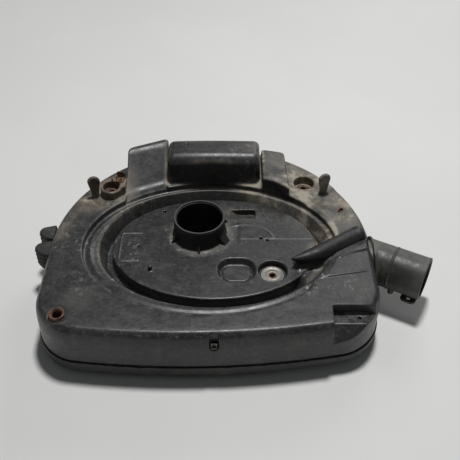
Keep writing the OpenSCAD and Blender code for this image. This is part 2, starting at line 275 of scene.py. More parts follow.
def solid(name, shape, lo, hi, pitch):
    """Closed mesh of the solid where shape(x, y, z) is negative, and its points in millimetres."""
    axes = [np.arange(a - 2 * pitch, b + 3 * pitch, pitch, dtype=np.float32) for a, b in zip(lo, hi)]
    field = shape(axes[0][:, None, None], axes[1][None, :, None], axes[2][None, None, :])
    field = np.broadcast_to(field, [len(v) for v in axes])
    points, quads = net(field, np.array([v[0] for v in axes], float), pitch)
    points = settle(points, shape)
    mesh = bpy.data.meshes.new(name)
    mesh.vertices.add(len(points))
    mesh.vertices.foreach_set("co", (points * MM).ravel())
    mesh.loops.add(quads.size)
    mesh.loops.foreach_set("vertex_index", quads.ravel())
    mesh.polygons.add(len(quads))
    mesh.polygons.foreach_set("loop_start", np.arange(0, quads.size, 4))
    mesh.polygons.foreach_set("use_smooth", np.ones(len(quads), bool))
    mesh.update()
    mesh.validate()
    return link(name, mesh), points


def paint(obj, name, values):
    """A number from 0 to 1 for each point of the mesh, which the materials read."""
    layer = obj.data.attributes.new(name, "FLOAT", "POINT")
    layer.data.foreach_set("value", np.clip(values, 0, 1).astype(np.float32))


def stand_in(obj, node, body, material):
    """Dresses obj, which rides on body in place of a CAD node."""
    dress(obj, MATERIALS[material])
    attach(obj, body)
    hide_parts(node)


def dress(obj, material):
    obj.data.materials.clear()
    obj.data.materials.append(material)


# ---- the housing shell ----

def breather_frame(x, y):
    """Distance along the breather pipe from its tip, and to its left."""
    return turned(x, y, BREATHER_FROM, BREATHER_TURN)


def in_duct(x, y):
    """Above 0 over the back of the inlet duct, which fills the oval channel in front of the breather pipe."""
    return np.minimum(x - 96 + 0.25 * (y + 58), 2 - breather_frame(x, y)[1])


def deck_height(x, y, edge):
    """The deck, which drops at its edges and has a raised field at each end of the breather pipe."""
    drop = 2.6 * np.exp(np.minimum(edge, 0) / 4.5) * soft((110 - y) / 100)
    plateau = 2.2 * soft((0.772 * (y - 62) - 0.636 * (x - 110)) / 7 + 0.5) * soft((x - 80) / 8)
    field = 1.3 * soft((y + 55 - 0.18 * (x - 122)) / 2.2) * soft((4 - breather_frame(x, y)[1]) / 8)
    field = field * soft((x - 104) / 8) * soft((170 - x) / 14)
    bead = 1.1 * ridge(line2(x, y, (139, -25), (169, -11)), 1.0)
    return DECK_Z - drop + plateau + field + bead


def channel_floor(x, y, ring, plate):
    """Floor of the oval channel: shallow at the front, with a rounded ridge along its outer edge."""
    front = soft((-y - 5) / 75)
    floor = 59.5 + 5.3 * front + (2.4 - 1.2 * front) * ridge(ring + 7.5, 3.2)
    back = PLATE_Z + 0.4 + 9.9 * soft(plate / 26)
    return floor + (back - floor) * soft(in_duct(x, y) / 13)


def plate_height(x, y):
    """Height of the plate, with its low raised fields, shallow arc and label frame."""
    field = 0.6 * soft((y - 12) / 4) * soft((x - 30) / 4)
    arc = 0.7 * ridge(disc(x, y, (38, 4), 34), 1.2) * soft((y - 14) / 4)
    collar = 1.2 * soft((42 - hyp(x - NECK_AT[0], y - NECK_AT[1])) / 13)
    label_frame = 0.7 * ridge(box2(x, y, (-88, 2), 24, 44, 3), 0.8) * (x < -78)
    return PLATE_Z + field + arc + collar + label_frame


def left_plan(x, y):
    """Plan of the left block, behind the oval channel."""
    sides = np.maximum(-101 - x, x + 54)
    return np.maximum(np.maximum(sides, 0.5 - oval(x, y, RING_AT, RING_A, RING_B)), 60 - y)


def left_face(x, y, z):
    """Above 0 over the broad face of the left block, which slopes up from the channel to the back."""
    _, back = turned(x, y, LEFT_FACE_AT, LEFT_FACE_TURN)
    return (z - 62.8 - np.clip(back, -14, 60) * 0.766) * 0.794


def left_block(x, y, z):
    """Wedge with one broad sloping face."""
    _, back = turned(x, y, LEFT_FACE_AT, LEFT_FACE_TURN)
    rear = (back - 54) * 0.9 + (z - LEFT_BLOCK_Z) * 0.35
    shape = meet(meet(left_plan(x, y), left_face(x, y, z), 2.5), z - LEFT_BLOCK_Z + 0.03 * (x + 54), 5)
    return meet(shape, rear, 8)


def mid_block(x, y, z):
    """Pillow-shaped block with a steep, slightly bulging front."""
    across = ((x - MID_BLOCK_X) / MID_BLOCK_HALF) ** 2
    bulge = 2.6 * np.clip(1 - ((z - 84) / 26) ** 2, 0, 1) + 2.0 * (1 - across) - 1
    front = 104.5 - bulge - y + 0.05 * (z - DECK_Z)
    sides = np.abs(x - 2.3) - 55.5 + 0.03 * (z - DECK_Z)
    top = z - MID_BLOCK_Z + across * 2.2 + np.maximum(y - 128, 0) * 0.1
    rear = (y - 142) * 0.8 + (z - MID_BLOCK_Z) * 0.62
    return meet(round_meet(round_meet(front, top, 11), sides, 7), rear, 8)


def right_block(x, y, z):
    """Lower block with a broad, gently sloping top."""
    plan = np.maximum(np.maximum(60 - x, x - 91 + (y - 78) * 0.05), 60 - y)
    plan = np.maximum(plan, 0.5 - oval(x, y, RING_AT, RING_A, RING_B))
    top = (z - RIGHT_BLOCK_Z + 1.2 * ((x - 74) / 16) ** 2 + 0.13 * np.maximum(118 - y, 0)) * 0.98
    rear = (y - 144 + 0.25 * (x - 74)) * 0.8 + (z - RIGHT_BLOCK_Z) * 0.6
    return meet(meet(plan, top, 3), rear, 4)


def fin(x, y, z, at, turn):
    """Leaf-shaped upright tab, widest near its rounded top."""
    u, v = turned(x, y, at, turn)
    w = z - DECK_Z
    up = np.clip((w - 9) / 13, 0, 1)
    leaf = join(hyp(u, w - 9 - 13 * up) - 4.9 - 2.4 * up, box2(u, w, (0, 0), 8, 14, 2), 3)
    return meet(leaf, np.abs(v) - 2.8 + 0.03 * w, 2)


def outside(x, y, z):
    """The housing's outside without its small recesses, not yet cut off at its foot."""
    edge = outline(x, y)
    lean = 2.6 * np.clip((z - 47) / 18, 0, 1.2) ** 2
    body = round_meet(edge + lean + (z - FOOT_Z) * 0.01, z - deck_height(x, y, edge), 5)
    ring = oval(x, y, RING_AT, RING_A, RING_B)
    plate = oval(x, y, PLATE_AT, PLATE_A, PLATE_B)
    # the left block's face starts below the deck, so the deck above it is cut away
    body = cut(body, meet(left_plan(x, y), -left_face(x, y, z), 1), 1)
    blocks = join(join(left_block(x, y, z), right_block(x, y, z)), mid_block(x, y, z), 1)
    body = join(body, meet(blocks, edge + 5, 5), 4)
    body = cut(body, meet(ring, (channel_floor(x, y, ring, plate) - z) * 0.93, 3), 2.2)
    body = cut(body, meet(plate, plate_height(x, y) - z, 1.5), 1.5)
    lean = np.clip(z - GROOVE_Z - 3, 0, 20) * 0.42
    floor = GROOVE_Z + 14 * soft((in_duct(x, y) + 4) / 14)
    groove = meet(meet((plate - GROOVE_W - lean) * 0.92, -plate - 0.5), floor - z, 3)
    body = cut(body, groove, 1.8)
    t, v = breather_frame(x, y)
    taper = 6 * soft(1 - t / 30)
    bed = hyp(v - 0.9 * taper, z - BREATHER_Z + 8) - BREATHER_R + taper
    return join(body, meet(bed * 0.85, slab(t, 2, BREATHER_LENGTH - 3), 2), 7)


def add_ons(x, y, z):
    """Fins, cup, stand, rib, peg and boss that stand on the housing."""
    cup_top = DECK_Z + 10.5
    cup = meet(disc(x, y, LEFT_SLEEVE_AT, 13 - (cup_top - z) * 0.06), slab(z, 50, cup_top), 2)
    stand = meet(box2(x, y, (-107, 90), 11, 18, 2), slab(z, 60, DECK_Z + 11.9), 1.5)
    rib_top = z - DECK_Z - 8 - 0.45 * (x + 116)
    rib = meet(box2(x, y, (-110, 107), 12, 6, 2), np.maximum(rib_top * 0.9, 60 - z), 1.2)
    peg = meet(disc(x, y, (-64, -34), 2.2), slab(z, 50, PLATE_Z + 6), 1)
    boss = meet(disc(x, y, FRONT_SLEEVE_AT, 11), slab(z, 50, DECK_Z - 1.2), 1.5)
    left_fin, right_fin = [fin(x, y, z, at, turn) for at, turn in FINS]
    return join(join(join(join(cup, stand, 3), rib, 2), join(peg, boss)), join(left_fin, right_fin))


def recesses(x, y, z):
    """Everything that is sunk into the housing's outside."""
    ledge = 54 + np.minimum(y + 106, 0) * 0.95
    corner = meet(meet(124 - x, y + 92, 1), (ledge - z) * 0.72, 1.5)
    notch = meet(box2(x, z, (6, 56), 9, 21, 4), y + FRONT_Y - 6, 1)
    pad = meet(box2(x, y, PAD_AT, 31, 23, 10), z - PLATE_Z + 5.2, 1.5)
    draft = 0.45 * np.clip(PLATE_Z - z, 0, 8)
    sump = meet((box2(x, y, SUMP_AT, 41, 35, 15) + draft) * 0.92, PLATE_Z - 7 - z, 1.5)
    pocket_floor = PLATE_Z - 7 + np.clip(31 - x, 0, 10) * 0.6
    pocket = meet(box2(x, y, POCKET_AT, 29, 15, 2), (pocket_floor - z) * 0.85, 1)
    result = join(join(corner, notch), cut(sump, pad, 1))
    more = [
        meet(disc(x, y, WASHER_AT, 15.5), WASHER_Z - z, 1),
        pocket,
        # seats of the two rear sleeves
        meet(disc(x, y, RIGHT_SLEEVE_AT, 12.2), PLATE_Z + 0.3 - z, 2),
        meet(disc(x, y, LEFT_SLEEVE_AT, 9.8), DECK_Z + 1 - z, 1),
        # slots in the plate and the deck
        meet(box2(x, y, (-55, 59), 4, 8, 1.9), PLATE_Z - 3 - z, 0.5),
        meet(box2(x, y, *SLOT), DECK_Z - 4 - z, 0.5),
        # small round holes in the plate, the corner's ledge and the middle block
        meet(disc(x, y, (-80, 3), 1.3), PLATE_Z - 3 - z),
        meet(disc(x, y, (56, 15), 1.8), PLATE_Z - 3 - z),
        meet(disc(x, y, (63, 12), 1.7), PLATE_Z - 3 - z),
        meet(disc(x, y, (152, -98), 1.8), 49 - z),
        meet(disc(x, y, (-29, 133), 1.8), MID_BLOCK_Z - 7 - z),
        # hole in the front of the right block
        meet(disc(x, z, (76, 73), 2), 94 - y),
    ]
    for d in more:
        result = join(result, d)
    return result


def bosses(x, y, z):
    """Solid bosses inside the housing."""
    result = meet(disc(x, y, WASHER_AT, 18), GROOVE_Z + 2 - z)
    result = join(result, meet(disc(x, y, WASHER_AT, 8), 30 - z), 2)
    for at in SCREWS_AT:
        result = join(result, disc(x, y, at, 6), 1)
    for at, r in ((FRONT_SLEEVE_AT, 11), (LEFT_SLEEVE_AT, 13), (RIGHT_SLEEVE_AT, 14.5)):
        result = join(result, disc(x, y, at, r), 1)
    return join(result, meet(np.abs(x) - 1.5, 150 - y), 1)


def bores(x, y, z):
    """Bores that go right through bosses and walls."""
    result = disc(x, y, NECK_AT, NECK_R - 0.6)
    for at in SCREWS_AT:
        result = join(result, meet(disc(x, y, at, 3.2), z - 50))
    for at, r, top in ((FRONT_SLEEVE_AT, 9, 9), (LEFT_SLEEVE_AT, 8.5, 20), (RIGHT_SLEEVE_AT, 8.5, 9)):
        result = join(result, meet(disc(x, y, at, r), z - DECK_Z - top))
    result = join(result, meet(disc(x, y, WASHER_AT, 5), z - PLATE_Z))
    pipe_from, pipe_r = (*BREATHER_FROM, BREATHER_Z), BREATHER_R - 0.3
    pipe = rod(x, y, z, pipe_from, BREATHER_TURN, pipe_r, 34, BREATHER_LENGTH - 0.5)
    spigot_hole = rod(x, y, z, (*INLET_END, INLET_Z), INLET_TURN, WAIST_R, -84, 0)
    return join(result, join(pipe, spigot_hole))


def housing(x, y, z):
    """The whole shell: its outside and add-ons, less its recesses, its hollow inside and its bores."""
    skin = outside(x, y, z)
    dents = recesses(x, y, z)
    hollow = meet(skin + WALL, WALL - dents)
    hollow = cut(hollow, bosses(x, y, z), 1)
    shell = join(skin, add_ons(x, y, z), 2)
    shell = cut(shell, dents, 0.8)
    shell = cut(shell, hollow)
    shell = cut(shell, bores(x, y, z))
    return np.maximum(shell, FOOT_Z - z)


# ---- dust, rust and wear on the shell ----

def spots(x, y, *places):
    """Sum of round spots, each given as its middle, radius, fading width and strength."""
    return sum(near(disc(x, y, at, r), reach) * strength for at, r, reach, strength in places)


def dust_lying(x, y):
    """Dust that lies on level surfaces, at the right, at the back and in the hollows."""
    ring = oval(x, y, RING_AT, RING_A, RING_B)
    plate = oval(x, y, PLATE_AT, PLATE_A, PLATE_B)
    right = soft((x - 70) / 60) * soft((y + 5) / 50) * 0.6
    back = soft((y - 75) / 60) * 0.18
    channel = near(np.abs(plate - 17) - 4, 7) * soft((x + 10) / 110) * soft((y + 20) / 50) * 1.7
    left_arc = near(np.abs(plate - 14) - 2, 5) * soft((20 - x) / 60) * 0.45
    groove = near(np.abs(plate - 11) - 3, 5) * soft((x - 10) / 60) * 0.5
    neck_side = near(line2(x, y, (24, 60), (75, 50)) - 4, 16) * 0.4
    left_edge = near(line2(x, y, (-158, 60), (-172, 20)) - 6, 26) * 0.55
    left_gap = near(np.abs(x + 53.5) - 2, 4) * soft((y - 96) / 4)
    right_gap = near(np.abs(x - 59) - 2, 4) * soft((y - 90) / 5)
    block_foot = soft((y - 97) / 4) * near(np.abs(ring - 1.5) - 1, 3) * near(np.abs(x - 5) - 55, 20)
    round_spots = spots(
        x, y, (LEFT_SLEEVE_AT, 14, 30, 0.8), (RIGHT_SLEEVE_AT, 14, 24, 0.9), (NECK_AT, NECK_R + 3, 12, 0.6),
        ((149, 55), 6, 30, 0.6), ((118, -2), 3, 14, 0.7), ((-138, 62), 8, 18, 0.4), ((74, 120), 16, 30, 0.3))
    strips = right + back + channel + left_arc + groove + neck_side + left_edge
    return strips + (left_gap + right_gap) * 0.8 + block_foot * 0.7 + round_spots


def dust_on_fins(x, y, z):
    near_fins = spots(x, y, *[(at, 8, 3, 0.6) for at, _ in FINS])
    return near_fins * soft((z - DECK_Z - 2) / 10)


def rust_stains(x, y):
    """Rust that the sleeves, the slot and the left bush have left on the plastic."""
    return near(box2(x, y, *SLOT), 2) + spots(
        x, y, (LEFT_SLEEVE_AT, 9, 7, 1), (RIGHT_SLEEVE_AT, 8, 6, 1), (FRONT_SLEEVE_AT, 9, 1.5, 0.3),
        ((-138, 68), 2, 8, 0.45))


def scuffs_and_edge_highlight(x, y, z):
    """Worn places, and a painted highlight along the deck's rounded front edge, which the material fills with
    pale flecks.
    """
    plate = oval(x, y, PLATE_AT, PLATE_A, PLATE_B)
    strip = near(line2(x, y, (104, -70), (118, -54)) - 3, 9) * 0.9
    channel = near(np.abs(plate - 16), 4) * soft((-x - 40) / 40) * 0.9
    plate_edge = near(np.abs(plate - 3), 5) * soft((40 - y) / 40) * 0.3
    # pale flecks along the rounded front edge of the deck: a painted highlight, partly real wear
    front_edge_highlight = near(np.abs(z - DECK_Z + 3.5), 2.5) * soft((-y - 90) / 20) * 0.35
    return strip + channel + plate_edge + front_edge_highlight + spots(
        x, y, (NECK_AT, NECK_R + 4, 13, 1), ((40, 52), 14, 22, 0.35), ((-96, -3), 16, 10, 0.5),
        ((-150, 5), 10, 28, 0.6), ((-132, -60), 4, 26, 0.5), ((140, -65), 6, 26, 0.5),
        ((40, 118), 6, 22, 0.6))


def make_housing():
    obj, points = solid("housing_shell_skin", housing, SHELL_LO, SHELL_HI, PITCH)
    x, y, z = points.T
    normal = slope(points, outside, 1.2)
    up = normal[:, 2] / np.maximum(np.linalg.norm(normal, axis=1), 1e-3)
    paint(obj, "dust", dust_lying(x, y) * np.clip(up * 0.9 + 0.2, 0, 1) + dust_on_fins(x, y, z))
    # the distance field is less steep than 1 at the edges
    paint(obj, "edge", (1 - np.linalg.norm(slope(points, housing, 1.5), axis=1)) * 1.6)
    paint(obj, "rust", rust_stains(x, y))
    # pale flecks of wear, with a painted highlight along the deck's front edge
    paint(obj, "scuff_and_edge_highlight", scuffs_and_edge_highlight(x, y, z))
    paint(obj, "patch", spots(x, y, ((-133, -83), 8, 14, 1), ((152, -70), 3, 20, 0.6)))
    stand_in(obj, "housing_shell", HOUSING, "housing_plastic")


# ---- the other pieces ----

def piece(name, node, shape, pitch, body, material, grow=0.0):
    """Detailed stand-in for a CAD node, meshed in that node's box grown by grow, and its points' x, y, z."""
    lo, hi = span(node)
    lo, hi = [v - grow for v in lo], [v + grow for v in hi]
    obj, points = solid(name, shape, lo, hi, pitch * PIECE_COARSER)
    stand_in(obj, node, body, material)
    return obj, points.T


def oval_box(node):
    """Middle and half sizes of the oval that fills a CAD node's box, and the box's lowest and highest z."""
    lo, hi = span(node)
    return middle(node), (hi[0] - lo[0]) / 2, (hi[1] - lo[1]) / 2, lo[2], hi[2]


def neck(x, y, z):
    """Tapered neck with a bead, six gussets, a skirt at the right and a flange under the plate."""
    u, v = x - NECK_AT[0], y - NECK_AT[1]
    r = hyp(u, v)
    foot = 5 * np.exp(-np.maximum(z - PLATE_Z - 1.4, 0) / 2.2) * (z > PLATE_Z - 1)
    flare = 0.9 * soft((z - PLATE_Z - 12) / 10)
    tube = meet(r - NECK_R - foot * 0.5 - flare, slab(z, PLATE_Z - 10, NECK_TOP - 2), 0.8)
    bead = hyp(r - NECK_R, z - PLATE_Z - 10) - 0.9
    flange = meet(r - NECK_R - 4, np.abs(z - PLATE_Z + 4) - 1.5, 0.5)
    result = join(join(tube, bead, 1), flange, 0.5)
    heights = slab(z, PLATE_Z - 1, PLATE_Z + 13)
    for turn in range(30, 390, 60):
        a = math.radians(turn)
        along, side = u * math.cos(a) + v * math.sin(a), v * math.cos(a) - u * math.sin(a)
        half_width = 5.5 if turn == 330 else 1.3  # the wide one is the skirt
        web = (along - NECK_R - 8.5 + 0.72 * np.maximum(z - PLATE_Z, 0)) * 0.81
        gusset = meet(meet(web, np.abs(side) - half_width, 0.8), heights, 0.8)
        result = join(result, meet(gusset, NECK_R - 2 - along), 1.5)
    return np.maximum(result, NECK_BORE_R - r)


def neck_lip(x, y, z):
    """Worn rubber lip on the neck's top edge."""
    r = disc(x, y, NECK_AT, (NECK_R + NECK_BORE_R) / 2 + 0.6)
    wave = 0.15 * np.sin(9 * np.arctan2(y - NECK_AT[1], x - NECK_AT[0]))
    return meet(np.abs(r) - 1.05, np.abs(z - NECK_TOP + 1 - wave) - 1.0, 0.9)


def inlet_frame(x, y):
    """Distance inwards along the spigot from its open end, and to its back side."""
    u, v = turned(x, y, INLET_END, INLET_TURN)
    return -u, v


def spigot(x, y, z):
    """Inlet spigot with a rolled end, a collar line, a root flange on the wall and a drilled ear."""
    t, v = inlet_frame(x, y)
    r = hyp(v, z - INLET_Z)
    edge = outline(x, y)
    skin = INLET_R - 0.35 + 0.7 * ridge(t - 37, 0.9) + 0.35 * ridge(t - 1.2, 1.6)
    seam = 0.35 * ridge(v, 0.6) * (z > INLET_Z)
    tube = meet(meet(r - skin - seam, -t, 1), 0.2 - edge, 0.5)
    flange = meet(meet(r - INLET_R - 1.3, np.abs(edge - 1.1) - 0.9, 0.8), z - DECK_Z + 1)
    tube = join(tube, flange, 2)
    sleeve = meet(r - WAIST_R, np.maximum(-t, -edge - 4.5))
    from_nub = hyp(t - 31, v + 17.5)
    nub = meet(from_nub - 3.2, slab(z, INLET_Z - 20, INLET_Z), 1)
    nub = cut(nub, meet(from_nub - 1.7, INLET_Z - 21.5 - z))
    ear = meet(box2(t, v, (11, -10.5), 17, 20, 5), np.abs(z - INLET_Z + 22.5) - 1.5, 0.8)
    ear = cut(ear, hyp(t - 11, v + 14.8) - 2.4, 0.4)
    result = join(join(join(tube, sleeve), ear, 2.5), nub, 1)
    bore = join(meet(r - 21, t - 34), r - WAIST_R + 2.5)
    return cut(result, bore, 0.8)


def breather(x, y, z):
    """Breather pipe with a tapered nose, a collar and a blind end."""
    t, v = breather_frame(x, y)
    w = z - BREATHER_Z
    nose = np.clip(1 - (t + 6) / 38, 0, 1)
    radius = (BREATHER_R - 0.2) * np.maximum(1 - nose ** 1.6, 0) ** 0.7
    back = BREATHER_R - 0.2 - radius
    radius = radius + 0.3 * ridge(t - 81, 2.2) - 0.6 * ridge(t - 75.5, 1.0)
    tube = meet((hyp(v - 0.9 * back, w - 0.35 * back) - radius) * 0.75, t - BREATHER_LENGTH + 0.4, 1.2)
    blind = meet(hyp(v, w) - 6.5, BREATHER_LENGTH - 6 - t, 0.8)
    return cut(tube, blind, 0.6)


def cover(x, y, z):
    """Cover with a deep rim, a pan with a grooved underside, screw pads and sleeve pads."""
    edge = outline(x, y)
    low = RIM_LOW + 3.5 * soft((x - 20) / 110)
    rim = meet(edge - 1.3 + 0.02 * (SEAM_Z - z), slab(z, low, SEAM_Z), 1.6)
    pan = meet(edge + 14 - 0.2 * (z - 3), slab(z, 0, SEAM_Z - 3), 3)
    result = join(rim, pan, 4)
    hollow = join(meet(edge + 6, RIM_LOW + 5 - z, 2), meet(edge + 14 + WALL, WALL - z, 2), 2)
    result = cut(result, hollow, 0.6)
    seal_seat = meet(np.maximum(edge, -edge - 3), SEAM_Z - 1.5 - z)
    result = cut(result, seal_seat)
    for at in SCREWS_AT:
        pad = meet(disc(x, y, at, 9), np.maximum(slab(z, 0, 9.5), edge + 5), 1)
        counterbore = meet(disc(x, y, at, 7), z - 5)
        result = cut(join(result, pad, 1), counterbore, 0.5)
        result = cut(result, disc(x, y, at, 2.5))
    for at in (FRONT_SLEEVE_AT, LEFT_SLEEVE_AT, RIGHT_SLEEVE_AT):
        result = join(result, meet(disc(x, y, at, 12), slab(z, 0, SEAM_Z - 1.5), 1), 1)
        result = cut(result, disc(x, y, at, 6.5), 0.5)
    # shallow grooves in the underside: two ovals, and lines across the larger one
    large, small = oval(x, y, PLATE_AT, 112, 82), oval(x, y, PLATE_AT, 70, 48)
    ovals = np.minimum(np.abs(small), np.abs(large)) - 1.2
    lines = np.minimum(np.abs((x + 300) % 60 - 30) - 1.2, np.abs(y - 3) - 1.2)
    grooves = meet(np.minimum(ovals, np.maximum(lines, large)), z - 0.9, 0.5)
    return cut(result, grooves, 0.5)


def cover_seal(x, y, z):
    """Seal with a wavy outer lip, along the seam."""
    edge = outline(x, y)
    lip = 0.35 * np.cos((z - SEAM_Z) * 4.2)
    return meet(np.abs(edge + 1.4) - 1.1 - lip, np.abs(z - SEAM_Z + 0.5) - 0.95, 0.5)


def tube_with_rim(at, r, bore, lo, hi):
    """Rusty tube with worn, uneven edges."""
    def shape(x, y, z):
        a = np.arctan2(y - at[1], x - at[0])
        pit = 0.18 * (np.sin(5 * a + z * 0.9) * np.sin(3 * a - z * 0.7) + 0.5 * np.sin(11 * a + 1.3 * z))
        d = hyp(x - at[0], y - at[1])
        wall = meet(d - r + pit * 0.6, bore - d + pit * 0.4, 0.8)
        return meet(wall, np.maximum(z - hi + np.abs(pit), lo - z), 1.1)
    return shape


def front_sleeve(x, y, z):
    """Sleeve with a cone-shaped mouth."""
    top = span("front_left_sleeve")[1][2]
    tube = tube_with_rim(FRONT_SLEEVE_AT, 8, 4.75, FOOT_Z, top)(x, y, z)
    mouth = disc(x, y, FRONT_SLEEVE_AT, 4.75) - 0.55 * np.maximum(z - top + 3, 0)
    return cut(tube, mouth * 0.85, 0.6)


def washer(x, y, z):
    """Thin dished washer with a ridge round its hole."""
    r = hyp(x - WASHER_AT[0], y - WASHER_AT[1])
    middle_z = WASHER_Z + 0.5 + 0.6 * soft((r - 8) / 4) + 0.25 * ridge(r - 6, 1.0)
    return meet(np.maximum(r - 12.5, 2.7 - r), np.abs(z - middle_z) - 0.55, 0.4)


def buffer(x, y, middle_y):
    """Plan of one bumper: a polygon with rounded corners, which reaches into the wall."""
    u, v = x + BODY_R, y - middle_y
    corners = [(2, -11), (-9, -8), (-18.3, 2), (-15, 10), (2, 15)]
    plan = None
    for (ax, ay), (bx, by) in zip(corners, corners[1:] + corners[:1]):
        side = ((v - ay) * (bx - ax) - (u - ax) * (by - ay)) / math.hypot(bx - ax, by - ay)
        plan = side if plan is None else meet(plan, side, 2.5)
    return plan


def buffers(x, y, z):
    """Two ribbed rubber bumpers on the left wall."""
    plan = join(buffer(x, y, BUFFERS_Y[0]), buffer(x, y, BUFFERS_Y[1]), 1.5)
    ribs = 0.5 * np.cos((z - BUFFERS_Z) * 1.1)
    ribbed = meet(plan + ribs * 0.6 + 0.4, np.abs(z - BUFFERS_Z) - 12.8, 1.5)
    return meet(ribbed, x + BODY_R - 0.6)


def spring_clip(x, y, z):
    """Folded sheet-metal clip with a round hole."""
    lo, hi = span("rear_left_clip")
    cx, cy, cz = middle("rear_left_clip")
    flat = meet(box2(x, y, (cx, cy), 8.6, 10.6, 1.5), np.abs(z - lo[2] - 0.6) - 0.6, 0.4)
    flat = cut(flat, disc(x, y, (cx, lo[1] + 3.4), 1.8), 0.3)
    upright = box2(x, z, (cx, cz), 8.6, hi[2] - lo[2], 2)
    upright = meet(upright, np.abs(y - hi[1] + 1.2) - 0.7, 0.4)
    return join(flat, upright, 1.5)


def ring_section(node):
    """Flat oval ring with a ribbed top and underside, in the box of one of the filter's seals."""
    at, a, b, bottom, top = oval_box(node)

    def shape(x, y, z):
        outer, inner = oval(x, y, at, a, b), oval(x, y, at, a - 27.5, b - 27.5)
        ribs = 0.24 * np.cos(outer * 0.9)
        faces = np.abs(z - (bottom + top) / 2) - (top - bottom) / 2 + 0.4 - ribs
        return meet(np.maximum(outer, -inner), faces, 1.2)
    return shape


def pleated_media():
    """Folded filter paper: a closed band whose outside and inside are both pleated."""
    at, a, b, bottom, top = oval_box("filter_media")
    folds, band, fold_depth = 170, 22, 4.5
    mesh = bpy.data.meshes.new("filter_paper_pleats")
    bm = bmesh.new()
    loops = []
    for inset, side in ((0, 1), (band, -1)):
        for z in (bottom, top):
            loop = []
            for i in range(2 * folds):
                turn = math.pi * i / folds
                depth = inset + side * fold_depth * (i % 2)
                x = at[0] + (a - depth) * math.cos(turn)
                y = at[1] + (b - depth) * math.sin(turn)
                loop.append(bm.verts.new((x * MM, y * MM, z * MM)))
            loops.append(loop)
    outer_low, outer_high, inner_low, inner_high = loops
    for i in range(2 * folds):
        j = (i + 1) % (2 * folds)
        bm.faces.new((outer_low[i], outer_low[j], outer_high[j], outer_high[i]))
        bm.faces.new((inner_low[j], inner_low[i], inner_high[i], inner_high[j]))
        bm.faces.new((outer_high[i], outer_high[j], inner_high[j], inner_high[i]))
        bm.faces.new((outer_low[j], outer_low[i], inner_low[i], inner_low[j]))
    bm.normal_update()
    bm.to_mesh(mesh)
    bm.free()
    stand_in(link("filter_paper_pleats", mesh), "filter_media", COVER, "filter_paper")


def make_pieces():
    piece("throttle_neck_body", "throttle_neck", neck, 0.8, HOUSING, "neck_plastic", 2)
    piece("throttle_neck_lip", "throttle_seal", neck_lip, 0.45, HOUSING, "neck_lip")
    piece("inlet_spigot_body", "inlet_spigot", spigot, 0.8, HOUSING, "spigot_plastic", 1)
    piece("breather_pipe_body", "breather_pipe", breather, 0.7, HOUSING, "neck_plastic")
    piece("cover_pan", "cover", cover, 1.3, COVER, "cover_plastic")
    piece("cover_seal_ring", "cover_seal", cover_seal, 0.9, COVER, "seal_rubber")
    piece("front_sleeve", "front_left_sleeve", front_sleeve, 0.45, HOUSING, "rusty_steel")
    for name, node, at in (("left_sleeve", "rear_left_sleeve", LEFT_SLEEVE_AT),
                           ("right_sleeve", "rear_right_sleeve", RIGHT_SLEEVE_AT)):
        lo, hi = span(node)
        piece(name, node, tube_with_rim(at, 6.5, 3.25, lo[2], hi[2]), 0.45, HOUSING, "rusty_steel")
    obj, (x, y, _) = piece("dished_washer", "plate_washer", washer, 0.4, HOUSING, "galvanised_steel")
    paint(obj, "rust", near(disc(x, y, WASHER_AT, 3.6), 1.4))
    piece("side_bumpers", "side_buffers", buffers, 0.6, HOUSING, "black_rubber")
    piece("spring_clip", "rear_left_clip", spring_clip, 0.35, HOUSING, "rusty_steel")
    for name, node in (("filter_top_seal", "filter_upper_seal"), ("filter_foot_seal", "filter_lower_seal")):
        piece(name, node, ring_section(node), 1.0, COVER, "filter_frame_rubber")
    pleated_media()


def bevel_metal_parts():
    """Rounds the edges of CAD nodes that are shown as they are."""
    for node in ("cover_screws", "screw_washers", "screw_inserts", "spring_nut", "plate_sleeve",
                 "locating_pin"):
        bevel = NODES[node].modifiers.new("edges", "BEVEL")
        bevel.width = 0.3 * MM
        bevel.segments = 2
        bevel.limit_method = "ANGLE"


# ---- materials ----

